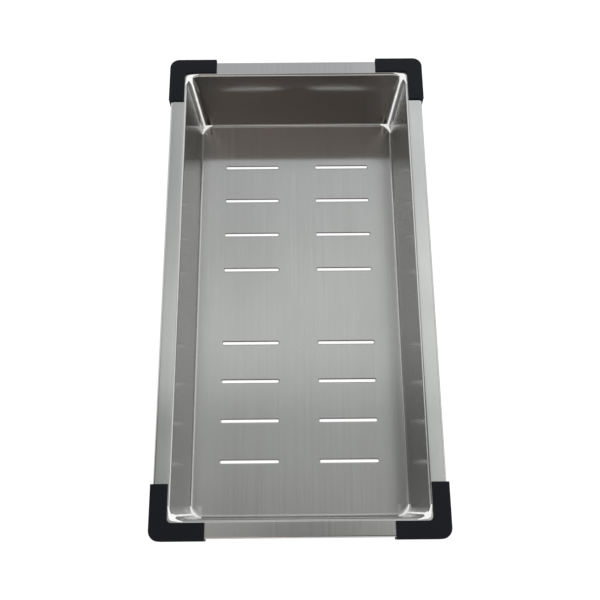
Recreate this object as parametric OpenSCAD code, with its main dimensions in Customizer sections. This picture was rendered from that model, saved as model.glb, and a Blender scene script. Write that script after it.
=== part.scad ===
// Drain tray of a workstation kitchen sink.
// A slotted sheet-steel tray whose rim hangs on the sink's ledges, with a
// pressed and polished steel corner in each angle and a plastic cap on each
// corner of the rim. Millimetres, +Z up, +Y towards the back end, origin on
// the underside of the floor at its middle.

/* [Tray] */
// Width over the rim, without the corner caps
tray_w = 232; // [180:1:320]
// Length over the rim, without the corner caps
tray_l = 429; // [360:1:560]
// Depth inside, from the top of the rim to the top of the floor
inner_depth = 83; // [50:1:140]
// Thickness of the sheet
sheet = 1; // [0.8:0.1:1.4]
// Outward lean of the walls, in degrees
wall_lean = 3.2; // [1:0.2:6]

/* [Rim] */
// Width of the rim, from its outer edge to the inner face of the wall
rim_w = 14.5; // [13:0.5:22]
// Outside radius of the fold between wall and rim
rim_fold_r = 2.5; // [1.6:0.1:4]
// Outside radius of the fold between rim and lip
lip_fold_r = 1.8; // [1.6:0.1:3]
// Height of the lip that turns down at the rim's outer edge
lip_h = 10; // [7:0.5:18]

/* [Floor] */
// Inside radius of the fold between floor and wall
floor_fold_r = 2.5; // [1.5:0.1:4]
// Inside radius of the four upright corners
corner_r = 10; // [6:0.5:12]

/* [Drain slots] */
// Width of a slot
slot_w = 3; // [2:0.5:6]
// Length of a slot over its round ends
slot_l = 53; // [20:1:60]
// Distance between the two columns of slots
column_gap = 37; // [10:1:50]
// Distance from one row to the next
row_pitch = 36.8; // [12:0.2:38]
// Rows in each half of the floor, counted from the bare middle
rows_per_half = 4; // [1:1:4]

/* [Corner caps] */
// Length of a cap's arm, from the outer faces that meet at its corner
cap_arm = 43.5; // [38:0.5:60]
// Width of a cap's arm, seen from above
cap_arm_w = 14; // [11:0.5:14.5]
// Thickness of the plate on top of the rim
cap_plate = 2; // [1.2:0.1:3]
// Thickness of the skirt outside the lip
cap_skirt = 1.6; // [1:0.1:2.4]
// Radius of a cap's outer corner
cap_corner_r = 8.5; // [5:0.5:12]
// Radius of a cap's inner corner
cap_inner_r = 3.5; // [1:0.5:6]
// Thickness of the jaw under the lip
cap_jaw = 1.8; // [1.2:0.1:3]
// Width of the jaw, from the outer face
cap_jaw_w = 6.5; // [5.5:0.5:9]
// Height of the hook that stands on the jaw inside the lip
hook_h = 3; // [1.5:0.5:5]
// Thickness of the hook
hook_t = 1.4; // [1:0.1:2]
// Clearance between the lip and the cap
cap_gap = 0.2; // [0.1:0.05:0.4]

/* [Hidden] */

$fn = 96;
steel = "#A9ABA8";
polished_steel = "#D6D8D8";
black_plastic = "#1F2025";

// Steps of a bend in the sheet, and of an arc round a pressed corner
bend_steps = 6;
corner_steps = 10;

top_z = inner_depth + sheet;
half_w = tray_w / 2;
half_l = tray_l / 2;

// The section of one side is drawn in a plane where u runs outwards and z up,
// with u = 0 at the rim's outer edge. The wall's inner face is a leaning line.
function wall_u(z) = -rim_w - (top_z - z) * tan(wall_lean);
// Both bends sit against that line: the rim's from outside, the floor's from inside.
rim_bend = [wall_u(top_z - rim_fold_r) + rim_fold_r / cos(wall_lean), top_z - rim_fold_r];
floor_bend = [wall_u(sheet + floor_fold_r) - floor_fold_r / cos(wall_lean), sheet + floor_fold_r];
lip_bend = [-lip_fold_r, top_z - lip_fold_r];

function arc(centre, r, from, to) = [for (i = [0 : bend_steps])
    let (angle = from + (to - from) * i / bend_steps)
        centre + r * [cos(angle), sin(angle)]];

// The sheet's upper face from floor to rim, the lip, and the lower face back to the floor
upper_face = concat(arc(floor_bend, floor_fold_r, -90, -wall_lean),
                    arc(rim_bend, rim_fold_r, 180 - wall_lean, 90));
lip_outline = concat(arc(lip_bend, lip_fold_r, 90, 0),
                     [[0, top_z - lip_h], [-sheet, top_z - lip_h]],
                     arc(lip_bend, lip_fold_r - sheet, 0, 90));
lower_face = concat(arc(rim_bend, rim_fold_r - sheet, 90, 180 - wall_lean),
                    arc(floor_bend, floor_fold_r + sheet, -wall_lean, -90));
side_outline = concat(upper_face, lip_outline, lower_face);

// Where the sides end and the pressed corners begin, seen along a side
function seam_u(z) = wall_u(z) - corner_r;

// The cap covers the rim's edge by its skirt and the clearance
cap_reach = cap_skirt + cap_gap;
jaw_top = -lip_h - cap_gap;
jaw_bottom = jaw_top - cap_jaw;
hook_u = cap_skirt + cap_gap + sheet + cap_gap;
// The lip starts where the straight side does
hook_start = cap_reach - seam_u(top_z) + cap_gap;
// The corner plate follows the inside of the cap's skirt
plate_corner_r = cap_corner_r - cap_reach;

// ---- the folded sheet ----

// Whole section from lip to lip over a tray of this half width
module full_section(half) {
    last = len(side_outline) - 1;
    polygon(concat([for (p = side_outline) [half + p[0], p[1]]],
                   [for (i = [last : -1 : 0]) [-half - side_outline[i][0], side_outline[i][1]]]));
}

// What lies between the two seams that end a side; the seams lean outwards
module between_seams(half) {
    low = -sheet;
    high = top_z + sheet;
    polygon([[-half - seam_u(low), low], [half + seam_u(low), low],
             [half + seam_u(high), high], [-half - seam_u(high), high]]);
}

module along_y(length)
    rotate([90, 0, 0])
        linear_extrude(length, center = true)
            children();

module along_x(length)
    rotate([90, 0, 90])
        linear_extrude(length, center = true)
            children();

// Floor with its two long sides, then floor with its two ends
module folded_sides() {
    intersection() {
        along_y(tray_l) full_section(half_w);
        along_x(2 * tray_w) between_seams(half_l);
    }
    intersection() {
        along_x(tray_w) full_section(half_l);
        along_y(2 * tray_l) between_seams(half_w);
    }
}

// Flat slot with round ends, cut through the floor
module slot() {
    run = slot_l - slot_w;
    translate([0, 0, -sheet])
        linear_extrude(3 * sheet) {
            square([run, slot_w], center = true);
            for (side = [-1, 1])
                translate([side * run / 2, 0])
                    circle(d = slot_w);
        }
}

module slots()
    for (column = [-1, 1], row = [-rows_per_half : rows_per_half])
        if (row != 0)
            translate([column * (column_gap + slot_l) / 2, row * row_pitch, 0])
                slot();

module pan()
    color(steel)
        difference() {
            folded_sides();
            slots();
        }

// ---- the pressed corners ----

// Centre of the corner's arc at a height
function seam_at(z) = [half_w + seam_u(z), half_l + seam_u(z), z];
function arc_ring(p) = [for (i = [0 : corner_steps])
    seam_at(p[1]) + (p[0] - seam_u(p[1])) * [cos(90 * i / corner_steps), sin(90 * i / corner_steps), 0]];
// Outer edge of the plate: two straight runs and the rounded corner between them
function plate_ring(z) = concat(
    [[half_w, seam_at(z)[1], z]],
    [for (i = [0 : corner_steps - 2])
        let (angle = 90 * i / (corner_steps - 2))
            [half_w - plate_corner_r + plate_corner_r * cos(angle),
             half_l - plate_corner_r + plate_corner_r * sin(angle), z]],
    [[seam_at(z)[0], half_l, z]]);

function quad(a, b, c, d) = [[a, b, c], [a, c, d]];

// Back right corner; the others are mirrored from it
module pressed_corner() {
    rings = concat([for (p = upper_face) arc_ring(p)],
                   [plate_ring(top_z), plate_ring(top_z - sheet)],
                   [for (p = lower_face) arc_ring(p)]);
    count = len(rings);
    pairs = count / 2;
    row = corner_steps + 1;
    points = concat([seam_at(sheet), seam_at(0)], [for (ring = rings) each ring]);
    // Upper and lower points of the sheet, counted from the floor's corner outwards
    function upper(k, i) = k == 0 ? 0 : 2 + (k - 1) * row + i;
    function lower(k, i) = k == 0 ? 1 : 2 + (count - k) * row + i;
    skin = [for (k = [1 : pairs - 1], i = [0 : corner_steps - 1])
        each concat(quad(upper(k, i), upper(k + 1, i), upper(k + 1, i + 1), upper(k, i + 1)),
                    quad(lower(k, i), lower(k, i + 1), lower(k + 1, i + 1), lower(k + 1, i)))];
    floor_fans = [for (i = [0 : corner_steps - 1])
        each [[upper(0, i), upper(1, i), upper(1, i + 1)], [lower(0, i), lower(1, i + 1), lower(1, i)]]];
    plate_edge = [for (i = [0 : corner_steps - 1])
        each quad(upper(pairs, i), lower(pairs, i), lower(pairs, i + 1), upper(pairs, i + 1))];
    seam_faces = [for (k = [0 : pairs - 1])
        each concat(quad(lower(k, 0), lower(k + 1, 0), upper(k + 1, 0), upper(k, 0)),
                    quad(upper(k, corner_steps), upper(k + 1, corner_steps),
                         lower(k + 1, corner_steps), lower(k, corner_steps)))];
    polyhedron(points, concat(skin, floor_fans, plate_edge, seam_faces));
}

module at_corner(right, back)
    mirror([right ? 0 : 1, 0, 0])
        mirror([0, back ? 0 : 1, 0])
            children();

module corner(right, back)
    color(polished_steel)
        at_corner(right, back)
            pressed_corner();

// ---- the corner caps ----

// Square with one rounded corner at the origin
module rounded_corner_square(size, r) {
    translate([r, 0])
        square([size - r, size]);
    translate([0, r])
        square([size, size - r]);
    translate([r, r])
        circle(r);
}

// L of two arms of this length and width, with its outer and inner corner rounded
module corner_band(length, width, outer_r, inner_r) {
    difference() {
        rounded_corner_square(length, outer_r);
        translate([width, width])
            rounded_corner_square(length, inner_r);
    }
}

// Cap with its outer corner at the origin, its arms along +X and +Y and the rim's top at z = 0
module cap_body() {
    linear_extrude(cap_plate)
        corner_band(cap_arm, cap_arm_w, cap_corner_r, cap_inner_r);
    translate([0, 0, jaw_bottom])
        linear_extrude(-jaw_bottom)
            corner_band(cap_arm, cap_skirt, cap_corner_r, cap_corner_r - cap_skirt);
    translate([0, 0, jaw_bottom])
        linear_extrude(cap_jaw)
            corner_band(cap_arm, cap_jaw_w, cap_corner_r, cap_inner_r);
    translate([hook_start, hook_u, jaw_bottom])
        cube([cap_arm - hook_start, hook_t, cap_jaw + hook_h]);
    translate([hook_u, hook_start, jaw_bottom])
        cube([hook_t, cap_arm - hook_start, cap_jaw + hook_h]);
}

module cap(right, back)
    color(black_plastic)
        at_corner(right, back)
            translate([half_w + cap_reach, half_l + cap_reach, top_z])
                rotate(180)
                    cap_body();

pan();
corner(false, false);  // corner_front_left
corner(true, false);  // corner_front_right
corner(false, true);  // corner_back_left
corner(true, true);  // corner_back_right
cap(false, false);  // cap_front_left
cap(true, false);  // cap_front_right
cap(false, true);  // cap_back_left
cap(true, true);  // cap_back_right
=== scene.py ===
"""Looks of a workstation sink's drain tray: brushed steel, polished corners and plastic caps."""

import math

import bmesh
import bpy
import numpy as np
from bpy.props import FloatProperty, FloatVectorProperty, IntProperty, PointerProperty
from mathutils import Matrix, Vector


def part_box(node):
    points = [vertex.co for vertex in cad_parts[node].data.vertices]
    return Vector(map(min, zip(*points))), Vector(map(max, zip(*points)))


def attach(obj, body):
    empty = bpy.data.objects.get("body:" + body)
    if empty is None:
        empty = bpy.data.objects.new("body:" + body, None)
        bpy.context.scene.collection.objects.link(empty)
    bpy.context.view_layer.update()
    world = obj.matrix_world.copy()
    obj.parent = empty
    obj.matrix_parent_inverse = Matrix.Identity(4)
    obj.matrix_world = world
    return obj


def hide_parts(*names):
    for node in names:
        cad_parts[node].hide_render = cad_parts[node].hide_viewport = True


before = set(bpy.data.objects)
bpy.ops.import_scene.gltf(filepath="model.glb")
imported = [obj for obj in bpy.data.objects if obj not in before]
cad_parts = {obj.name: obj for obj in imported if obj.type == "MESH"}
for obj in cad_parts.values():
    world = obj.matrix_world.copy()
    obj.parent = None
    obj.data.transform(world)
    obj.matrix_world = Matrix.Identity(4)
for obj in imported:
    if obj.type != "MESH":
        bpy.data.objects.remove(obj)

bl_info = {
    "name": "Sink drain tray",
    "version": (1, 0, 0),
    "blender": (4, 5, 0),
    "location": "View3D > Sidebar > Drain Tray",
    "description": "Builds a folded steel drain tray with polished corners and corner caps",
    "category": "Add Mesh",
}

MM = 0.001
SIDES = (("left", -1), ("right", 1))
ENDS = (("front", -1), ("back", 1))

_, PAN_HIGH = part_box("pan")
CAP_LOW, CAP_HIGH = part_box("cap_back_right")
HALF_W = PAN_HIGH.x
HALF_L = PAN_HIGH.y
TOP = PAN_HIGH.z


# ---------------------------------------------------------------- sizes


def length(name, description, default):
    """A size in metres, given in millimetres."""
    return FloatProperty(name=name, description=description, default=default * MM, min=0.0, precision=5,
                         subtype="DISTANCE", unit="LENGTH")


class TraySizes(bpy.types.PropertyGroup):
    """The folded sheet and its pressed corners."""
    sheet: length("Sheet", "Thickness of the sheet", 1.0)
    lean: FloatProperty(name="Wall lean", description="Outward lean of the walls",
                        default=math.radians(3.2), subtype="ANGLE", unit="ROTATION")
    rim_width: length("Rim width", "Rim from its outer edge to the wall's inner face", 14.5)
    rim_fold: length("Rim fold", "Outside radius of the fold between wall and rim", 2.5)
    lip_fold: length("Lip fold", "Outside radius of the fold between rim and lip", 1.8)
    lip_height: length("Lip height", "Height of the lip at the rim's outer edge", 10.0)
    floor_fold: length("Floor fold", "Inside radius of the fold between floor and wall", 2.5)
    corner: length("Corner radius", "Inside radius of the upright corners", 10.0)
    flare: length("Corner flare", "Extra radius of the rim's fold in the middle of a corner", 0.8)
    dish: length("Corner dish", "Extra radius of the floor's fold in the middle of a corner", 1.2)
    edge: length("Edge break", "Radius of the deburred sheet edges", 0.18)
    slot_width: length("Slot width", "Clear width of a drain slot", 2.6)
    slot_roll: length("Slot roll", "Radius to which a slot's upper edge is rolled down", 0.95)
    slot_length: length("Slot length", "Length of a drain slot over its round ends", 53.0)
    column_gap: length("Column gap", "Distance between the two columns of slots", 37.0)
    row_pitch: length("Row pitch", "Distance from one row of slots to the next", 36.8)
    rows_per_half: IntProperty(name="Rows per half", description="Rows in each half of the floor",
                               default=4)


class CapSizes(bpy.types.PropertyGroup):
    """A corner cap. Its arm length and heights come from the frame."""
    arm_width: length("Arm width", "Width of an arm seen from above", 14.0)
    plate: FloatProperty(name="Plate", description="Thickness of the plate on the rim",
                         default=CAP_HIGH.z - TOP, unit="LENGTH")
    skirt: length("Skirt", "Thickness of the skirt outside the lip", 1.6)
    corner: length("Outer corner", "Radius of the outer corner", 8.5)
    inner_corner: length("Inner corner", "Radius of the inner corner", 3.5)
    jaw: length("Jaw", "Thickness of the jaw under the lip", 1.8)
    jaw_width: length("Jaw width", "Width of the jaw from the outer face", 6.5)
    hook_height: length("Hook height", "Height of the hook inside the lip", 3.0)
    hook: length("Hook", "Thickness of the hook", 1.4)
    gap: length("Gap", "Clearance between lip and cap", 0.2)
    edge: length("Edge radius", "Radius of the moulded edges", 0.55)


class FinishColours(bpy.types.PropertyGroup):
    """Base colours, linear."""
    steel: FloatVectorProperty(name="Steel", description="Brushed steel", size=3, subtype="COLOR",
                               default=(0.50, 0.50, 0.49))
    polished: FloatVectorProperty(name="Polished steel", description="Ground and polished corners", size=3,
                                  subtype="COLOR", default=(0.52, 0.52, 0.51))
    # Near-white colour of the satin marks: the weld line is real but its whiteness is a painted highlight,
    # and the crescents on the folds are painted highlights
    weld: FloatVectorProperty(name="Weld line", description="Buffed weld line up a corner", size=3,
                              subtype="COLOR", default=(0.97, 0.97, 0.96))
    plastic: FloatVectorProperty(name="Plastic", description="Corner caps", size=3, subtype="COLOR",
                                 default=(0.0018, 0.0027, 0.0072))
    floor: FloatVectorProperty(name="Floor", description="Studio floor", size=3, subtype="COLOR",
                               default=(0.9, 0.9, 0.9))


class StudioSettings(bpy.types.PropertyGroup):
    """The camera's place and turn."""
    lens: FloatProperty(name="Lens", description="Focal length in millimetres", default=46.64,
                        unit="CAMERA")
    place: FloatVectorProperty(name="Camera place", description="Where the camera stands", size=3,
                               subtype="TRANSLATION", unit="LENGTH", default=(-0.00092, -0.22408, 0.71157))
    tilt: FloatProperty(name="Tilt", description="Turn up from straight down, towards the back",
                        default=math.radians(17.905), subtype="ANGLE", unit="ROTATION")
    swing: FloatProperty(name="Swing", description="Turn about the upright",
                         default=math.radians(-0.705), subtype="ANGLE", unit="ROTATION")
    roll: FloatProperty(name="Roll", description="Turn about the line of sight",
                        default=math.radians(0.178), subtype="ANGLE", unit="ROTATION")


# ---------------------------------------------------------------- meshes


# Points closer together than the first become one, and edges shorter than the second are dropped
MERGE_DISTANCE, SHORTEST_EDGE = 2e-6, 1e-7


def grid_quads(rows, columns, wrap=False):
    """Quads of a grid of points numbered row by row; wrap joins the last column to the first."""
    r = np.arange(rows - 1)[:, None]
    c = np.arange(columns if wrap else columns - 1)[None, :]
    after = (c + 1) % columns
    near, far = r * columns, (r + 1) * columns
    return np.stack([near + c, near + after, far + after, far + c], axis=-1).reshape(-1, 4)


class Shell:
    """Patches of points that become one closed mesh."""

    def __init__(self):
        self.points, self.blank, self.marks = [], [], []
        self.faces = []
        self.count = 0

    def add(self, points, faces, blank, rim=0.0, cut=0.0):
        """Adds a patch: points (n, 3), faces of point numbers, each point's place on the flat blank (n, 2)
        and how far it belongs to the rim or to a cut edge, from 0 to 1."""
        shape = points.shape[:-1]
        self.points.append(points.reshape(-1, 3))
        self.blank.append(blank.reshape(-1, 2))
        marks = [np.broadcast_to(mark, shape).reshape(-1) for mark in (rim, cut)]
        self.marks.append(np.stack(marks, axis=-1))
        self.faces += (np.asarray(faces) + self.count).tolist()
        self.count += len(self.points[-1])

    def build(self, name, crease=40.0):
        """Joins the patches, merges the shared points, points the faces outwards and writes the blank's
        places as a UV map and the marks as attributes. Edges that turn by more than the crease, in
        degrees, stay sharp."""
        mesh = bpy.data.meshes.new(name)
        mesh.from_pydata(np.concatenate(self.points), [], self.faces)
        data = {"blank_place": ("FLOAT2", "vector", np.concatenate(self.blank)),
                "rim": ("FLOAT", "value", np.concatenate(self.marks)[:, 0]),
                "cut": ("FLOAT", "value", np.concatenate(self.marks)[:, 1])}
        for key, (kind, field, values) in data.items():
            layer = mesh.attributes.new(key, kind, "POINT")
            layer.data.foreach_set(field, values.astype(np.float32).ravel())
        work = bmesh.new()
        work.from_mesh(mesh)
        bmesh.ops.remove_doubles(work, verts=work.verts, dist=MERGE_DISTANCE)
        bmesh.ops.dissolve_degenerate(work, edges=work.edges, dist=SHORTEST_EDGE)
        bmesh.ops.recalc_face_normals(work, faces=work.faces)
        work.to_mesh(mesh)
        work.free()
        places = np.empty(len(mesh.vertices) * 2, np.float32)
        mesh.attributes["blank_place"].data.foreach_get("vector", places)
        corners = np.empty(len(mesh.loops), np.int32)
        mesh.loops.foreach_get("vertex_index", corners)
        uv = mesh.uv_layers.new(name="blank")
        uv.data.foreach_set("uv", places.reshape(-1, 2)[corners].ravel())
        mesh.shade_smooth()
        mesh.set_sharp_from_angle(angle=math.radians(crease))
        piece = bpy.data.objects.new(name, mesh)
        bpy.context.collection.objects.link(piece)
        return piece


def weighted_normals(piece):
    """Flat faces keep their own normals, and the folds between them take the turn."""
    smooth = piece.modifiers.new("weighted_normals", "WEIGHTED_NORMAL")
    smooth.mode = "FACE_AREA"
    smooth.weight = 80
    smooth.keep_sharp = True
    return piece


def finish_piece(piece, material, slot, *nodes):
    """Gives a piece its material and body, and hides the CAD nodes that it stands for. The slot is not used.
    """
    piece.data.materials.append(material)
    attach(piece, "root")
    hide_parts(*nodes)
    return piece


# ---------------------------------------------------------------- section of the sheet


# A section is drawn as (u, z): u is counted outwards from the rim's outer edge, so it is negative over the
# tray, and z is the height over the floor's underside.

# Steps across a fold of the wall, and points between its two folds
FOLD_STEPS = 12
WALL_POINTS = 8
# How far from a leaning seam the lines across a side start to fan out towards it
FAN = 60 * MM


def fold(centre, radius, start, end, steps=FOLD_STEPS):
    """Arcs in the plane of the section, one for each column: centre + radius * (cos a, sin a) from one
    angle in degrees to another, as (steps + 1, columns, 2)."""
    a = np.radians(np.linspace(start, end, steps + 1))[:, None]
    return np.stack([centre[0] + radius * np.cos(a), centre[1] + radius * np.sin(a)], axis=-1)


def between(a, b, count):
    """Evenly spaced points between two rows of points, both left out, as (count, columns, 2)."""
    return a + (b - a) * np.linspace(0, 1, count + 2)[1:-1, None, None]


def wall_u(s, z):
    """Inner face of the wall at a height, measured from the rim's outer edge: a line that leans
    outwards."""
    return -s.rim_width - (TOP - z) * math.tan(s.lean)


def seam_u(s, z):
    """Where a side ends and a pressed corner begins: inside the wall by the corner's radius."""
    return wall_u(s, np.maximum(z, s.sheet)) - s.corner


def rim_bend(s, radius):
    """Centre of the rim's fold: outside the wall's face and below the rim's top by the radius."""
    return wall_u(s, TOP - radius) + radius / math.cos(s.lean), TOP - radius


def floor_bend(s, radius):
    """Centre of the floor's fold: inside the wall's face and above the floor by the radius."""
    return wall_u(s, s.sheet + radius) - radius / math.cos(s.lean), s.sheet + radius


def floor_edge_u(s):
    """Where the flat floor ends and its fold begins."""
    return floor_bend(s, s.floor_fold)[0]


def wall_face(s, grow, depth):
    """Floor fold, wall and rim fold as (point, column, 2) of (u, z), for the sheet's upper face or, at a
    depth of one sheet, its lower face. Both folds have their plain radius plus a share, grow, of the
    corner's extra radius."""
    lean = math.degrees(s.lean)
    floor_r = s.floor_fold + s.dish * grow
    rim_r = s.rim_fold + s.flare * grow
    low = fold(floor_bend(s, floor_r), floor_r + depth, -90, -lean)
    high = fold(rim_bend(s, rim_r), rim_r - depth, 180 - lean, 90)
    return np.concatenate([low, between(low[-1], high[0], WALL_POINTS), high])


def side_section(s, columns):
    """Section of one side from the floor's fold round the lip back to the floor's lower face, as
    (point, column, 2), and how far each point belongs to the rim: 1 from the middle of the rim's fold
    outwards and underneath, and 0 on the wall's inner face."""
    flat = np.zeros(columns)
    upper, lower = wall_face(s, flat, 0.0), wall_face(s, flat, s.sheet)[::-1]
    lip = (-s.lip_fold, TOP - s.lip_fold)
    foot = TOP - s.lip_height + s.edge
    lip_up = fold(lip, s.lip_fold + flat, 90, 0)
    lip_down = fold(lip, s.lip_fold - s.sheet + flat, 0, 90)
    lip_foot = np.concatenate([fold((-s.edge, foot), s.edge + flat, 0, -90, 3),
                               fold((-s.sheet + s.edge, foot), s.edge + flat, -90, -180, 3)])
    rest = [between(upper[-1], lip_up[0], 3), lip_up, between(lip_up[-1], lip_foot[0], 2), lip_foot,
            between(lip_foot[-1], lip_down[0], 2), lip_down, between(lip_down[-1], lower[0], 3)]
    section = np.concatenate([upper, *rest, lower])
    rim = np.ones(len(section))
    rim[:len(upper) - FOLD_STEPS // 2] = 0
    return section, rim[:, None]


def run_along(path):
    """Length of a path up to each of its points, for every column of (point, column, axis)."""
    step = np.linalg.norm(np.diff(path, axis=0), axis=-1)
    return np.concatenate([np.zeros((1, path.shape[1])), np.cumsum(step, axis=0)])


def unfolded(section):
    """How far each point of a section lies from the floor's edge on the flat blank: the run along the
    upper face up to the lip's foot, and the same run backwards along the lower face."""
    run = run_along(section)
    return np.minimum(run, run[-1] - run)


# ---------------------------------------------------------------- the pan


# Width of the grid's cell round a slot, beyond the slot, and of the flat ring beside its rolled edge
SLOT_MARGIN = 2.0 * MM
ROLL_MARGIN = 0.4 * MM
# Radius of a slot's broken lower edge
SLOT_BREAK = 0.1 * MM
# Angles of the roll, in radians, between which the brushed face turns into the cut wall, rougher and painted
# dark as shade
CUT_START, CUT_END = 0.7, 1.0
# Distances of the floor's grid lines from the corners' seams
CORNER_LINES = np.array([0, 3, 7, 12.5]) * MM


def slot_spread(s):
    """Offsets of the grid lines along X and Y in one slot's cell, half the length of the slot's straight
    run, and half the cell's width. The lines fan out by the tangent of equal angles, so that they meet
    the slot's round ends at equal angles."""
    run = (s.slot_length - s.slot_width) / 2
    half = s.slot_width / 2 + SLOT_MARGIN
    fan = half * np.tan(np.radians(np.linspace(0, 45, 7)))
    x = np.concatenate([-run - fan[::-1], [-run / 2, 0, run / 2], run + fan])
    y = np.concatenate([-fan[:0:-1], fan])
    return x, y, run, half


def slot_centres(s):
    """Middle of every slot: two columns, and rows on both sides of the bare middle."""
    column = (s.column_gap + s.slot_length) / 2
    rows = np.arange(1, s.rows_per_half + 1) * s.row_pitch
    x, y = np.meshgrid([-column, column], np.concatenate([-rows[::-1], rows]))
    return np.stack([x.ravel(), y.ravel()], axis=-1)


def floor_lines(s):
    """Grid lines of the floor across X and Y, out to the folds, closer together near the corners."""
    x, y, _, _ = slot_spread(s)
    centres = slot_centres(s)
    result = []
    for half, spread, middles in ((HALF_W, x, centres[:, 0]), (HALF_L, y, centres[:, 1])):
        out = np.concatenate([half + seam_u(s, s.sheet) - CORNER_LINES, [half + floor_edge_u(s)]])
        slots = np.unique(middles)[:, None] + spread
        result.append(np.unique(np.round(np.concatenate([[0], slots.ravel(), out, -out]), 8)))
    return result


def add_floor(shell, s):
    """Both faces of the floor as a grid over the floor's lines, without the four corner squares and the
    slots' cells, and the sheet's cut edges along the corner squares."""
    xs, ys = floor_lines(s)
    _, _, run, half = slot_spread(s)
    gx, gy = np.meshgrid(xs, ys)
    flat = np.stack([gx, gy], axis=-1)
    quads = grid_quads(len(ys), len(xs))
    middle = flat.reshape(-1, 2)[quads].mean(axis=1)
    seam = np.array([HALF_W, HALF_L]) + seam_u(s, s.sheet)
    keep = ~np.all(np.abs(middle) > seam, axis=1)
    for centre in slot_centres(s):
        keep &= ~np.all(np.abs(middle - centre) < (run + half, half), axis=1)
    for z in (s.sheet, 0.0):
        shell.add(np.concatenate([flat, np.full_like(gx, z)[..., None]], axis=-1), quads[keep], flat)
    edge = np.array([HALF_W, HALF_L]) + floor_edge_u(s)
    for _, right in SIDES:
        for _, back in ENDS:
            path = np.array([[edge[0], seam[1]], [seam[0], seam[1]], [seam[0], edge[1]]]) * (right, back)
            strip = np.stack([np.column_stack([path, np.full(3, z)]) for z in (s.sheet, 0.0)])
            shell.add(strip, grid_quads(2, 3), np.stack([path, path]))


def add_slots(shell, s):
    """Rings round the slots. Each point of a cell's outline is carried to the nearest point of the slot's
    round-ended outline, and a section takes it down through the sheet: a quarter turn that rolls the
    upper edge down, and a small break of the lower edge."""
    x, y, run, half = slot_spread(s)
    outline = np.concatenate([
        np.stack([x[:-1], np.full(len(x) - 1, -half)], axis=-1),
        np.stack([np.full(len(y) - 1, run + half), y[:-1]], axis=-1),
        np.stack([x[:0:-1], np.full(len(x) - 1, half)], axis=-1),
        np.stack([np.full(len(y) - 1, -run - half), y[:0:-1]], axis=-1)])
    spine = np.stack([np.clip(outline[:, 0], -run, run), np.zeros(len(outline))], axis=-1)
    out = outline - spine
    out /= np.linalg.norm(out, axis=1, keepdims=True)
    roll, low, t = s.slot_roll, SLOT_BREAK, s.sheet
    down = np.radians(np.linspace(0, 90, 9))
    under = np.radians(np.linspace(90, 0, 4))
    away = np.concatenate([[roll + ROLL_MARGIN], roll * (1 - np.sin(down)),
                           low * (1 - np.sin(under)), [roll]])
    height = np.concatenate([[t], t - roll * (1 - np.cos(down)), low * (1 - np.cos(under)), [0.0]])
    # The cut mark, on which the slot's wall is painted dark as shade, grows while the roll turns down
    cut = np.clip((down - CUT_START) / (CUT_END - CUT_START), 0, 1)
    cut = np.concatenate([[0], cut, np.ones(3), [0, 0]])
    rings = spine + out * (s.slot_width / 2 + away[:, None, None])
    rings = np.concatenate([outline[None], rings, outline[None]])
    height = np.concatenate([[t], height, [0.0]])
    cut = np.concatenate([[0], cut, [0]])[:, None]
    quads = grid_quads(len(rings), len(outline), wrap=True)
    for centre in slot_centres(s):
        place = rings + centre
        lift = np.broadcast_to(height[:, None, None], place.shape[:2] + (1,))
        shell.add(np.concatenate([place, lift], axis=-1), quads, place, 0.0, cut)


def add_side(shell, s, along_y, sign):
    """One side: the section carried along the floor's own grid lines, which fan out to the leaning seams,
    where a face closes it. along_y is True for the two long sides."""
    xs, ys = floor_lines(s)
    lines, half, other = (ys, HALF_W, HALF_L) if along_y else (xs, HALF_L, HALF_W)
    seam = other + seam_u(s, s.sheet)
    lines = lines[np.abs(lines) < seam + SHORTEST_EDGE]
    section, rim = side_section(s, len(lines))
    u, z = section[..., 0], section[..., 1]
    inset = seam - np.abs(lines)
    lean_out = np.clip(1 - inset / FAN, 0, 1) * (seam_u(s, z) - seam_u(s, s.sheet))
    run = np.sign(lines) * (np.abs(lines) + lean_out)
    out = sign * (half + u)
    flat = sign * (half + floor_edge_u(s) + unfolded(section))
    points = np.stack([out, run, z] if along_y else [run, out, z], axis=-1)
    blank = np.stack([flat, run] if along_y else [run, flat], axis=-1)
    shell.add(points, grid_quads(*run.shape), blank, rim)
    for end in (0, -1):
        shell.add(points[:, end], [list(range(len(points)))], blank[:, end])


class TRAY_OT_pan(bpy.types.Operator):
    """Build the folded sheet: slotted floor, four walls, rims and lips"""
    bl_idname = "tray.pan"
    bl_label = "Pan"

    def execute(self, context):
        s = context.scene.tray_sizes
        shell = Shell()
        add_floor(shell, s)
        add_slots(shell, s)
        for along_y in (True, False):
            for sign in (-1, 1):
                add_side(shell, s, along_y, sign)
        pan = weighted_normals(shell.build("folded_pan"))
        finish_piece(pan, brushed_steel(context.scene.finish_colours), "brushed_steel_sheet", "pan")
        return {"FINISHED"}


# ---------------------------------------------------------------- the pressed corners


# Width of a corner's flat plate beyond the rim's fold, as the pattern on it counts it
PLATE_WIDTH = 9 * MM


def plate_edge(s, radius, steps, z):
    """Outer edge of the corner's plate: two straight runs and a rounded corner, at a height."""
    seam = seam_u(s, z)
    a = np.linspace(0, math.pi / 2, steps - 1)
    x = np.concatenate([[HALF_W], HALF_W - radius + radius * np.cos(a), [HALF_W + seam]])
    y = np.concatenate([[HALF_L + seam], HALF_L - radius + radius * np.sin(a), [HALF_L]])
    return np.stack([x, y, np.full_like(x, z)], axis=-1)[None]


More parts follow.
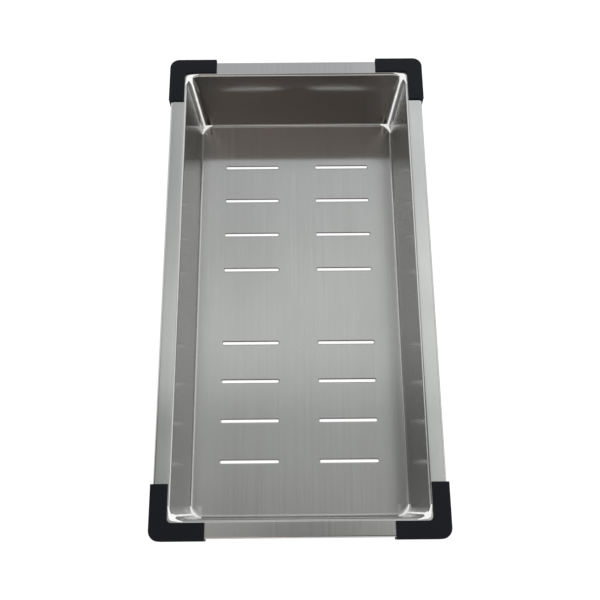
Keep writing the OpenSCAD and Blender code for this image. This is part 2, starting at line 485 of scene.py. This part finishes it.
def corner_face(s, plate_radius, depth, steps=48):
    """Upper or, at a depth of one sheet, lower face of the back right corner as (ring, step, 3), and each
    point's distance from the corner's middle line. A ring is a point of the wall's section turned about
    the corner's leaning axis: axis(z) + distance * (cos a, sin a). Towards the middle both folds open by
    sin^2(2a) of their extra radius. The first ring is the corner's centre on the floor, and the last is
    the plate's outer edge."""
    a = np.linspace(0, math.pi / 2, steps + 1)
    section = wall_face(s, np.sin(2 * a) ** 2, depth)
    u, z = section[..., 0], section[..., 1]
    axis = seam_u(s, z)
    distance = u - axis
    x = HALF_W + axis + distance * np.cos(a)
    y = HALF_L + axis + distance * np.sin(a)
    low = s.sheet - depth
    centre = np.array([HALF_W, HALF_L, low]) + np.array([1, 1, 0]) * seam_u(s, low)
    rings = np.concatenate([np.broadcast_to(centre, (1, steps + 1, 3)), np.stack([x, y, z], axis=-1),
                            plate_edge(s, plate_radius, steps, TOP - depth)])
    distance = np.concatenate([distance[:1] * 0, distance, distance[-1:] + PLATE_WIDTH])
    return rings, (a - math.pi / 4) * distance


class TRAY_OT_corners(bpy.types.Operator):
    """Build the four pressed corners, ground and polished"""
    bl_idname = "tray.corners"
    bl_label = "Polished corners"

    def execute(self, context):
        s, c = context.scene.tray_sizes, context.scene.cap_sizes
        material = polished_steel(context.scene.finish_colours)
        plate_radius = c.corner - c.skirt - c.gap
        upper, upper_across = corner_face(s, plate_radius, 0.0)
        lower, lower_across = corner_face(s, plate_radius, s.sheet)
        loop = np.concatenate([upper, lower[::-1]])
        across = np.concatenate([upper_across, lower_across[::-1]])
        blank = np.stack([across, run_along(loop)], axis=-1)
        quads = grid_quads(*blank.shape[:2])
        rows = len(upper)
        for side, right in SIDES:
            for end, back in ENDS:
                shell = Shell()
                shell.add(loop * (right, back, 1), quads, blank)
                for column in (0, -1):
                    edge = np.stack([upper[:, column], lower[:, column]]) * (right, back, 1)
                    shell.add(edge, grid_quads(2, rows), np.stack([blank[:rows, column]] * 2))
                piece = weighted_normals(shell.build(f"polished_corner_{end}_{side}"))
                finish_piece(piece, material, "polished_steel_corner", f"corner_{end}_{side}")
        return {"FINISHED"}


# ---------------------------------------------------------------- the corner caps


# Depth by which a hook's foot is sunk into the jaw
HOOK_SUNK = 0.3 * MM


def cap_section(c, lip_height):
    """Channel of a cap as (depth from the outer face, height over the rim's top)."""
    jaw_top = -lip_height - c.gap
    jaw_low = jaw_top - c.jaw
    return np.array([(0, jaw_low), (0, c.plate), (c.arm_width, c.plate), (c.arm_width, 0),
                     (c.skirt, 0), (c.skirt, jaw_top), (c.jaw_width, jaw_top), (c.jaw_width, jaw_low)])


def cap_points(c, section, arm, steps=10):
    """The section carried round the L: along one arm, round an arc that is concentric with the outer
    corner until its radius has shrunk to the inner corner's, and along the other arm."""
    depth = section[:, :1]
    radius = np.maximum(c.corner - depth, c.inner_corner)
    centre = depth + radius
    a = np.radians(np.linspace(180, 270, steps + 1))
    x = centre + radius * np.cos(a)
    y = centre + radius * np.sin(a)
    start = np.full_like(depth, arm)
    x = np.concatenate([depth, x, start], axis=1)
    y = np.concatenate([start, y, depth], axis=1)
    z = np.broadcast_to(section[:, 1:], x.shape)
    return np.stack([x, y, z], axis=-1).swapaxes(0, 1)


def at_corner(points, right, back):
    """Points counted inwards from a cap's outer corner and up from the rim's top, put at one corner."""
    return (np.array([CAP_HIGH.x, CAP_HIGH.y, TOP]) + points * (-1, -1, 1)) * (right, back, 1)


def block(low, high):
    """Corners and faces of a box, for the hooks."""
    x, y, z = np.stack([low, high], axis=-1)
    points = np.array([(x[i], y[j], z[k]) for i in (0, 1) for j in (0, 1) for k in (0, 1)])
    faces = [(0, 1, 3, 2), (4, 6, 7, 5), (0, 4, 5, 1), (2, 3, 7, 6), (0, 2, 6, 4), (1, 5, 7, 3)]
    return points, faces


class TRAY_OT_caps(bpy.types.Operator):
    """Build the four plastic corner caps"""
    bl_idname = "tray.caps"
    bl_label = "Corner caps"

    def execute(self, context):
        s, c = context.scene.tray_sizes, context.scene.cap_sizes
        material = cap_plastic(context.scene.finish_colours)
        arm = CAP_HIGH.x - CAP_LOW.x
        section = cap_section(c, s.lip_height)
        points = cap_points(c, section, arm)
        rows, columns = points.shape[:2]
        ends = [list(range(columns)), list(range((rows - 1) * columns, rows * columns))]
        # The hooks stand behind the lip, from where the pressed corner ends to the end of each arm
        jaw_top = -s.lip_height - c.gap
        near = c.skirt + c.gap + s.sheet + c.gap
        far = near + c.hook
        start = c.skirt + 2 * c.gap - seam_u(s, TOP)
        foot, head = jaw_top - HOOK_SUNK, jaw_top + c.hook_height
        hooks = [block((start, near, foot), (arm, far, head)), block((near, start, foot), (far, arm, head))]
        for side, right in SIDES:
            for end, back in ENDS:
                shell = Shell()
                body = at_corner(points, right, back)
                shell.add(body, grid_quads(rows, columns, wrap=True), body[..., :2])
                shell.faces += ends
                for corners, faces in hooks:
                    corners = at_corner(corners, right, back)
                    shell.add(corners, faces, corners[:, :2])
                piece = shell.build(f"cap_{end}_{side}_moulding", crease=180.0)
                soften = piece.modifiers.new("moulded_edges", "BEVEL")
                soften.width = c.edge
                soften.segments = 3
                soften.limit_method = "ANGLE"
                soften.angle_limit = math.radians(40)
                weighted_normals(piece)
                finish_piece(piece, material, "black_cap_plastic", f"cap_{end}_{side}")
        return {"FINISHED"}


# ---------------------------------------------------------------- materials


class Nodes:
    """Short names for building a node tree."""

    def __init__(self, owner):
        owner.use_nodes = True
        self.tree = owner.node_tree
        self.tree.nodes.clear()

    def add(self, kind, inputs=None, **settings):
        """A node of a kind. An input is a value or another node's output."""
        node = self.tree.nodes.new(kind)
        for key, value in settings.items():
            setattr(node, key, value)
        for key, value in (inputs or {}).items():
            if isinstance(value, bpy.types.NodeSocket):
                self.tree.links.new(value, node.inputs[key])
            else:
                node.inputs[key].default_value = value
        return node

    def math(self, operation, a, b=0.0, clamp=False):
        """One number from two, by the operation that is named."""
        return self.add("ShaderNodeMath", {0: a, 1: b}, operation=operation, use_clamp=clamp).outputs[0]

    def vector(self, operation, a, b=(0, 0, 0)):
        """A node that works on whole vectors, by the operation that is named."""
        return self.add("ShaderNodeVectorMath", {0: a, 1: b}, operation=operation)

    def noise(self, place, scale, detail=3.0, rough=0.5):
        """Smooth noise round 0.5, with scale cells per metre."""
        return self.add("ShaderNodeTexNoise", {"Vector": place, "Scale": scale, "Detail": detail,
                                               "Roughness": rough}).outputs["Fac"]

    def vary(self, noise, low, high):
        """A value between two that follows a noise, whose own values mostly lie from 0.3 to 0.7."""
        return self.map(noise, 0.3, 0.7, low, high)

    def stretch(self, place, scale):
        """A place multiplied by a scale for each axis, so that a noise on it is drawn out."""
        return self.add("ShaderNodeMapping", {"Vector": place, "Scale": scale}).outputs["Vector"]

    def map(self, value, low, high, to_low, to_high, smooth=False):
        """A value's range carried to another, in a straight line or a smooth step, and held at its ends."""
        return self.add("ShaderNodeMapRange", {"Value": value, "From Min": low, "From Max": high,
                                               "To Min": to_low, "To Max": to_high},
                        interpolation_type="SMOOTHSTEP" if smooth else "LINEAR").outputs["Result"]

    def attribute(self, name):
        """A mark that Shell wrote into the mesh."""
        return self.add("ShaderNodeAttribute", attribute_name=name).outputs["Fac"]

    def bump(self, height, strength, distance, under=None):
        """A normal tilted by a height, on top of the surface's own or of another bump."""
        node = self.add("ShaderNodeBump", {"Strength": strength, "Distance": distance, "Height": height})
        if under is not None:
            self.tree.links.new(under, node.inputs["Normal"])
        return node.outputs["Normal"]

    def ramp(self, value, stops, gain):
        """Level of a value between stops of (value, level); no stop's level is above the gain."""
        low, high = stops[0][0], stops[-1][0]
        node = self.add("ShaderNodeValToRGB", {"Fac": self.map(value, low, high, 0.0, 1.0)})
        elements = node.color_ramp.elements
        elements.remove(elements[1])
        for place, level in stops[1:]:
            elements.new((place - low) / (high - low)).color = (*[level / gain] * 3, 1)
        elements[0].color = (*[stops[0][1] / gain] * 3, 1)
        return self.math("MULTIPLY", node.outputs["Color"], gain)

    def tint(self, factor, low, high):
        """A colour between two colours."""
        mix = self.add("ShaderNodeMix", data_type="RGBA")
        for name, value in (("Factor", factor), ("A", low), ("B", high)):
            socket = next(i for i in mix.inputs if i.name == name and i.enabled)
            if isinstance(value, bpy.types.NodeSocket):
                self.tree.links.new(value, socket)
            else:
                socket.default_value = value
        return next(o for o in mix.outputs if o.enabled)


def rgba(colour, gain=1.0):
    """A colour as four channels, brightened or darkened."""
    return (*[min(1.0, v * gain) for v in colour], 1.0)


# Cells per metre of the brushed sheet's patterns, across the blank and along its length
FINE_GRAIN, BROAD_GRAIN, CLOUDS, WAVES = (2600, 9, 1), (420, 3.5, 1), (22, 9, 1), (9, 5, 1)
# Lowest and highest roughness over the sheet's grain, and what the rim and a cut wall add
GRAIN_ROUGHNESS = 0.172, 0.208
RIM_ROUGHNESS, CUT_ROUGHNESS = -0.08, 0.3


def brushed_steel(colours):
    """Brushed sheet: the grain runs along the blank's length, so light spreads across it. The rim is a
    little smoother, and the slots' cut walls are rougher and painted dark as shade."""
    material = bpy.data.materials.new("brushed_steel_sheet")
    n = Nodes(material)
    blank = n.add("ShaderNodeUVMap", uv_map="blank").outputs["UV"]
    fine = n.noise(n.stretch(blank, FINE_GRAIN), 1.0, 4.0, 0.65)
    broad = n.noise(n.stretch(blank, BROAD_GRAIN), 1.0, 3.0, 0.6)
    cloud = n.noise(n.stretch(blank, CLOUDS), 1.0, 3.0, 0.55)
    wave = n.noise(n.stretch(blank, WAVES), 1.0, 1.0, 0.4)
    grain = n.math("ADD", n.math("MULTIPLY", fine, 0.45), n.math("MULTIPLY", broad, 0.55))
    rim = n.attribute("rim")
    cut = n.attribute("cut")
    steel = n.tint(n.vary(grain, 0.0, 1.0), rgba(colours.steel, 0.92), rgba(colours.steel, 1.08))
    steel = n.tint(n.map(cloud, 0.35, 0.65, 0.0, 0.35), steel, rgba(colours.steel, 0.93))
    # Painted shade: the slots' cut walls are darkened to a sixth of the steel's colour, standing in for the
    # shade under the tray
    steel = n.tint(cut, steel, rgba(colours.steel, 0.16))
    rough = n.math("ADD", n.vary(grain, *GRAIN_ROUGHNESS), n.vary(cloud, -0.012, 0.012))
    rough = n.math("ADD", rough, n.math("MULTIPLY", rim, RIM_ROUGHNESS))
    rough = n.math("ADD", rough, n.math("MULTIPLY", cut, CUT_ROUGHNESS))
    across = n.add("ShaderNodeTangent", direction_type="UV_MAP", uv_map="blank").outputs[0]
    bump = n.bump(grain, 0.1, 0.04 * MM)
    bump = n.bump(wave, 0.5, 0.3 * MM, bump)
    shader = n.add("ShaderNodeBsdfPrincipled", {"Base Color": steel, "Metallic": 1.0, "Roughness": rough,
                                                "Anisotropic": 1.0, "Tangent": across, "Normal": bump})
    n.add("ShaderNodeOutputMaterial", {"Surface": shader.outputs[0]})
    return material


# Lie of the satin marks' bright flanks: along X and Y into the tray, and up
RIPPLE_IN, RIPPLE_UP = 0.406, 0.819
# The satin marks, painted near white as highlights, lie along the run from the corner's centre on the floor
# up to the rim. First the half width of the weld line against that run, and the runs over which it begins
# and ends
WELD_LINE = ((0.0, 0.0), (8 * MM, 0.0), (9 * MM, 1.3 * MM), (13 * MM, 1.2 * MM), (20 * MM, 1.0 * MM),
             (84 * MM, 1.0 * MM), (91 * MM, 2.2 * MM), (120 * MM, 2.2 * MM))
WELD_START, WELD_END = (8.0 * MM, 8.6 * MM), (94.0 * MM, 94.8 * MM)
# The crescents are painted highlights of the floor's fold and of the rim's fold
# Lower and upper run of each crescent, at the corner's middle and at its tips, and the distance from the
# middle to the tips
STAR = (8.2 * MM, 13.5 * MM), (9.6 * MM, 10.9 * MM)
BROW = (90.5 * MM, 94.8 * MM), (92.4 * MM, 93.2 * MM)
CRESCENT_REACH = 8 * MM
# Waviness of the weld line's edges, and half the width over which they fade
WELD_WANDER, WELD_FADE = 0.2 * MM, 0.2 * MM
# Cells per metre of the polishing marks and of their clouds, across a corner and along its run
POLISH_MARKS, POLISH_CLOUDS = (2400, 60, 1), (240, 90, 1)
# Lowest and highest roughness over the polishing marks, and what the satin adds
POLISH_ROUGHNESS, SATIN_ROUGHNESS = (0.12, 0.18), 0.27


def polished_steel(colours):
    """Ground and buffed corner with three satin marks painted near white: a weld line runs up the middle,
    whose whiteness is a painted highlight, and two crescents painted as highlights, one in the floor's fold
    and one on the rim's fold."""
    material = bpy.data.materials.new("polished_steel_corner")
    n = Nodes(material)
    blank = n.add("ShaderNodeUVMap", uv_map="blank").outputs["UV"]
    marks = n.noise(n.stretch(blank, POLISH_MARKS), 1.0, 3.0, 0.6)
    cloud = n.noise(n.stretch(blank, POLISH_CLOUDS), 1.0, 2.0, 0.5)
    across, run, _ = n.add("ShaderNodeSeparateXYZ", {0: blank}).outputs
    side = n.math("ABSOLUTE", across)
    wavy = n.math("ADD", side, n.vary(cloud, -WELD_WANDER, WELD_WANDER))
    inside = n.math("SUBTRACT", n.ramp(run, WELD_LINE, 3.0 * MM), wavy)
    line = n.map(inside, -WELD_FADE, WELD_FADE, 0.0, 1.0, smooth=True)
    line = n.math("MULTIPLY", line, n.map(run, *WELD_START, 0.0, 1.0))
    line = n.math("MULTIPLY", line, n.map(run, *WELD_END, 1.0, 0.0))
    reach = n.math("MULTIPLY", side, 1 / CRESCENT_REACH)

    def crescent(middle, tip):
        """1 between two runs that close up from the corner's middle to its seams, and 0 elsewhere."""
        low = n.math("SUBTRACT", run, n.map(reach, 0.0, 1.0, middle[0], tip[0]))
        high = n.math("SUBTRACT", n.map(reach, 0.0, 0.7, middle[1], tip[1], smooth=True), run)
        edges = [n.map(edge, -0.2 * MM, 0.3 * MM, 0.0, 1.0, smooth=True) for edge in (low, high)]
        return n.math("MULTIPLY", *edges)

    satin_highlight = n.math("MAXIMUM", n.math("MAXIMUM", line, crescent(*STAR)), crescent(*BROW))
    steel = n.tint(n.vary(marks, 0.0, 1.0), rgba(colours.polished, 0.94), rgba(colours.polished))
    # Painted highlight: the satin marks take the near-white colour of the weld line
    steel = n.tint(satin_highlight, steel, rgba(colours.weld))
    rough = n.math("ADD", n.vary(marks, *POLISH_ROUGHNESS), n.math("MULTIPLY", satin_highlight, SATIN_ROUGHNESS))
    bump = n.bump(marks, 0.1, 0.05 * MM)
    # The satin marks are fine ripples whose bright flanks face up and into the tray
    place = n.vector("SIGN", n.add("ShaderNodeTexCoord").outputs["Object"]).outputs[0]
    flank = n.vector("MULTIPLY_ADD", place, (-RIPPLE_IN, -RIPPLE_IN, 0))
    flank.inputs[2].default_value = (0, 0, RIPPLE_UP)
    turned = n.add("ShaderNodeMix", data_type="VECTOR")
    for key, value in ((0, satin_highlight), (4, bump), (5, flank.outputs[0])):
        n.tree.links.new(value, turned.inputs[key])
    normal = n.vector("NORMALIZE", turned.outputs[1]).outputs[0]
    shader = n.add("ShaderNodeBsdfPrincipled", {"Base Color": steel, "Metallic": 1.0, "Roughness": rough,
                                                "Normal": normal})
    n.add("ShaderNodeOutputMaterial", {"Surface": shader.outputs[0]})
    return material


# Cells per metre of the caps' spark texture and of its clouds
PEBBLES, PLASTIC_CLOUDS = 3200.0, 60.0
# Lowest and highest roughness over the spark texture
PLASTIC_ROUGHNESS = 0.42, 0.52


def cap_plastic(colours):
    """Spark-textured black plastic with a faint sheen."""
    material = bpy.data.materials.new("black_cap_plastic")
    n = Nodes(material)
    place = n.add("ShaderNodeTexCoord").outputs["Object"]
    pebble = n.noise(place, PEBBLES, 2.0, 0.5)
    cloud = n.noise(place, PLASTIC_CLOUDS, 3.0, 0.5)
    colour = n.tint(n.vary(cloud, 0.0, 1.0), rgba(colours.plastic, 0.85), rgba(colours.plastic, 1.15))
    rough = n.math("ADD", n.vary(pebble, *PLASTIC_ROUGHNESS), n.vary(cloud, -0.03, 0.03))
    bump = n.bump(pebble, 0.25, 0.03 * MM)
    shader = n.add("ShaderNodeBsdfPrincipled", {"Base Color": colour, "Roughness": rough,
                                                "Specular IOR Level": 0.25, "Normal": bump})
    n.add("ShaderNodeOutputMaterial", {"Surface": shader.outputs[0]})
    return material


# ---------------------------------------------------------------- studio


# Level of the studio's ceiling along its length, against the slope y / z of the line of sight: dark behind
# the camera, brightest a little ahead of it, and dim again at the far end
CEILING_ALONG = ((-2.4, 0.25), (-0.9, 0.23), (-0.42, 0.48), (0.05, 0.58), (0.165, 0.67), (0.205, 0.90),
                 (0.27, 1.00), (0.33, 0.95), (0.41, 0.81), (0.53, 0.74), (0.75, 0.78), (1.1, 0.80),
                 (2.4, 0.35))
# Gain of the ceiling across its width, against the slope x / z: two soft strips, the right one brighter
CEILING_ACROSS = ((-2.0, 0.65), (-0.75, 0.31), (-0.5, 0.20), (-0.3, 0.39), (-0.2, 0.82), (-0.15, 1.24),
                  (-0.08, 1.27), (0.0, 0.95), (0.06, 0.74), (0.11, 0.62), (0.15, 1.25), (0.19, 1.65),
                  (0.24, 1.44), (0.3, 0.95), (0.4, 0.62), (0.55, 0.50), (0.8, 0.60), (2.0, 0.89))
# Soft panels of the ceiling: name, middle and half size in slopes, half the width of the soft edge, and gain
PANELS = (("camera_shade", (-0.02, -0.12), (0.06, 0.18), 0.05, 0.5),
          ("dark_doorway", (0.24, -0.85), (0.28, 0.42), 0.10, 0.05),
          ("left_glow", (-0.12, -0.85), (0.08, 0.40), 0.05, 2.3),
          ("back_shade", (-0.42, -0.85), (0.20, 0.40), 0.06, 0.2),
          ("far_left_shade", (-0.10, 0.72), (0.08, 0.08), 0.03, 0.82),
          ("far_right_glow", (0.09, 0.72), (0.06, 0.08), 0.03, 1.25),
          ("left_near_glow", (-0.18, 0.09), (0.06, 0.05), 0.03, 1.2),
          ("right_far_glow", (0.18, 0.50), (0.10, 0.15), 0.04, 1.25),
          ("right_near_glow", (0.19, 0.11), (0.08, 0.07), 0.04, 1.35),
          ("right_shade", (0.09, 0.14), (0.05, 0.08), 0.03, 0.6),
          ("left_shade", (-0.45, 0.08), (0.25, 0.12), 0.08, 0.5))
# Colour of the ceiling behind the camera, above the tray and at the far end, and the slopes between them
HUES = (1.16, 0.96, 0.87, 1), (0.98, 1.005, 0.995, 1), (0.97, 0.99, 1.02, 1)
HUE_SLOPES = (-0.6, 0.1), (0.35, 0.65)
# Level of the ring of soft lamps round the ceiling, the slopes over which it begins to glow, and the dark
# gaps in it
RING_LEVEL, RING_START = 1.3, (0.72, 0.90)
RING_GAPS = (((0.2, -1.25), (1.12, 0.72), 0.12),
             ((0.0, 1.9), (0.75, 1.15), 0.12),
             ((-1.7, 0.2), (1.0, 0.13), 0.05))
# Two brighter windows in the ring, left and right, given as the gaps are
WINDOW_LEVEL = 2.3
WINDOWS = (((-1.05, -0.2), (0.28, 0.30), 0.1), ((1.05, -0.2), (0.28, 0.30), 0.1))
# Level of the white horizon, its height at the ends and at the sides, and the part of x between the two
HORIZON_LEVEL = 1.05
HORIZON_HEIGHTS, HORIZON_TURN = (0.15, 0.45), (0.35, 0.65)
# Glow of the studio floor in reflections and to the camera
FLOOR_GLOW = 0.65, 0.92
# Half the studio floor's width, and how far it lies under the tray
FLOOR_REACH, FLOOR_DROP = 4.0, 0.2 * MM


def grey(level):
    """A level as a colour without a hue."""
    return (level, level, level, 1.0)


def studio_world():
    """Sky of the studio: a ceiling whose level depends on the slopes of the line of sight, with soft shades
    and a ring of lamps, which turns into a white horizon, higher at the sides than at the ends."""
    world = bpy.data.worlds.new("studio")
    n = Nodes(world)
    look = n.vector("NORMALIZE", n.add("ShaderNodeTexCoord").outputs["Generated"]).outputs[0]
    x, y, z = n.add("ShaderNodeSeparateXYZ", {0: look}).outputs
    lift = n.math("MAXIMUM", z, 0.1)
    across, along = n.math("DIVIDE", x, lift), n.math("DIVIDE", y, lift)

    def panel(middle, half, edge):
        """1 inside a rectangle of slopes and 0 outside, with soft edges."""
        inside = []
        for slope, centre, reach in zip((across, along), middle, half):
            away = n.math("ABSOLUTE", n.math("SUBTRACT", slope, centre))
            inside.append(n.map(away, reach - edge, reach + edge, 1.0, 0.0, smooth=True))
        return n.math("MULTIPLY", *inside)

    level = n.math("MULTIPLY", n.ramp(along, CEILING_ALONG, 2.0), n.ramp(across, CEILING_ACROSS, 2.0))
    for _, middle, half, edge, gain in PANELS:
        change = n.math("MULTIPLY", panel(middle, half, edge), gain - 1.0)
        level = n.math("MULTIPLY", level, n.math("ADD", 1.0, change))
    squares = [n.math("MULTIPLY", slope, slope) for slope in (across, along)]
    away = n.math("SQRT", n.math("ADD", *squares))
    ring = n.map(away, *RING_START, 0.0, 1.0, smooth=True)
    for gap in RING_GAPS:
        ring = n.math("MULTIPLY", ring, n.math("SUBTRACT", 1.0, panel(*gap)))
    window = n.math("MAXIMUM", *[panel(*place) for place in WINDOWS])
    lamp = n.tint(window, grey(RING_LEVEL), grey(WINDOW_LEVEL))
    hue = HUES[0]
    for ends, colour in zip(HUE_SLOPES, HUES[1:]):
        hue = n.tint(n.map(along, *ends, 0.0, 1.0), hue, colour)
    ceiling = n.vector("SCALE", hue)
    n.tree.links.new(level, ceiling.inputs["Scale"])
    sky = n.tint(ring, ceiling.outputs[0], lamp)
    horizon = n.map(n.math("ABSOLUTE", x), *HORIZON_TURN, *HORIZON_HEIGHTS)
    below = n.math("SUBTRACT", 1.0, n.math("DIVIDE", z, horizon), clamp=True)
    sky = n.tint(n.map(below, 0.0, 0.5, 0.0, 1.0, smooth=True), sky, grey(HORIZON_LEVEL))
    light = n.add("ShaderNodeBackground", {"Color": sky, "Strength": 1.0}).outputs[0]
    n.add("ShaderNodeOutputWorld", {"Surface": light})
    bpy.context.scene.world = world


def floor_material(colours):
    """Pale floor that looks white to the camera and a little less so in reflections, and keeps a soft
    shadow."""
    material = bpy.data.materials.new("studio_floor")
    n = Nodes(material)
    path = n.add("ShaderNodeLightPath")
    seen = n.math("MAXIMUM", path.outputs["Is Camera Ray"], path.outputs["Is Glossy Ray"])
    seen = n.math("MAXIMUM", seen, path.outputs["Is Transmission Ray"])
    matte = n.add("ShaderNodeBsdfDiffuse", {"Color": rgba(colours.floor)}).outputs[0]
    faint = n.add("ShaderNodeBsdfDiffuse", {"Color": rgba(colours.floor, 0.25)}).outputs[0]
    level = n.map(path.outputs["Is Camera Ray"], 0.0, 1.0, *FLOOR_GLOW)
    glow = n.add("ShaderNodeEmission", {"Color": (1, 1, 1, 1), "Strength": level}).outputs[0]
    white = n.add("ShaderNodeAddShader", {0: faint, 1: glow}).outputs[0]
    surface = n.add("ShaderNodeMixShader", {0: seen, 1: matte, 2: white}).outputs[0]
    n.add("ShaderNodeOutputMaterial", {"Surface": surface})
    return material


class TRAY_OT_stage(bpy.types.Operator):
    """Set up the floor, the light and the camera"""
    bl_idname = "tray.stage"
    bl_label = "Stage"

    def execute(self, context):
        scene, studio = context.scene, context.scene.studio_settings
        reach = FLOOR_REACH
        mesh = bpy.data.meshes.new("studio_floor")
        mesh.from_pydata([(-reach, -reach, 0), (reach, -reach, 0), (reach, reach, 0), (-reach, reach, 0)],
                         [], [(0, 1, 2, 3)])
        mesh.materials.append(floor_material(scene.finish_colours))
        floor = bpy.data.objects.new("studio_floor", mesh)
        floor.location.z = -FLOOR_DROP
        scene.collection.objects.link(floor)
        studio_world()
        camera = bpy.data.objects.new("camera", bpy.data.cameras.new("camera"))
        camera.data.lens = studio.lens
        camera.data.sensor_width = 36.0
        camera.data.clip_start = 0.01
        turn = Matrix.Rotation(studio.swing, 4, "Z") @ Matrix.Rotation(studio.tilt, 4, "X")
        turn = turn @ Matrix.Rotation(studio.roll, 4, "Z")
        camera.matrix_world = Matrix.Translation(studio.place) @ turn
        scene.collection.objects.link(camera)
        scene.camera = camera
        scene.view_settings.view_transform = "Standard"
        return {"FINISHED"}


# ---------------------------------------------------------------- add-on


class TRAY_PT_panel(bpy.types.Panel):
    """Sizes and steps of the drain tray"""
    bl_idname = "TRAY_PT_panel"
    bl_label = "Drain Tray"
    bl_space_type = "VIEW_3D"
    bl_region_type = "UI"
    bl_category = "Drain Tray"

    def draw(self, context):
        """Lists every setting by group, and then the operators in order."""
        for name, _ in GROUPS:
            box = self.layout.box()
            group = getattr(context.scene, name)
            for key in group.__annotations__:
                box.prop(group, key)
        for operator in OPERATORS:
            self.layout.operator(operator.bl_idname)


GROUPS = (("tray_sizes", TraySizes), ("cap_sizes", CapSizes), ("finish_colours", FinishColours),
          ("studio_settings", StudioSettings))
OPERATORS = (TRAY_OT_pan, TRAY_OT_corners, TRAY_OT_caps, TRAY_OT_stage)


def register():
    """Registers the settings first, because the operators read them from the scene."""
    for name, group in GROUPS:
        bpy.utils.register_class(group)
        setattr(bpy.types.Scene, name, PointerProperty(type=group))
    for cls in (*OPERATORS, TRAY_PT_panel):
        bpy.utils.register_class(cls)


def unregister():
    """Takes away what register added, in reverse order."""
    for cls in (TRAY_PT_panel, *reversed(OPERATORS)):
        bpy.utils.unregister_class(cls)
    for name, group in reversed(GROUPS):
        delattr(bpy.types.Scene, name)
        bpy.utils.unregister_class(group)


def main():
    """Builds the stage and the pieces."""
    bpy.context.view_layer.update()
    register()
    bpy.ops.tray.stage()
    bpy.ops.tray.pan()
    bpy.ops.tray.corners()
    bpy.ops.tray.caps()


if __name__ == "__main__":
    main()
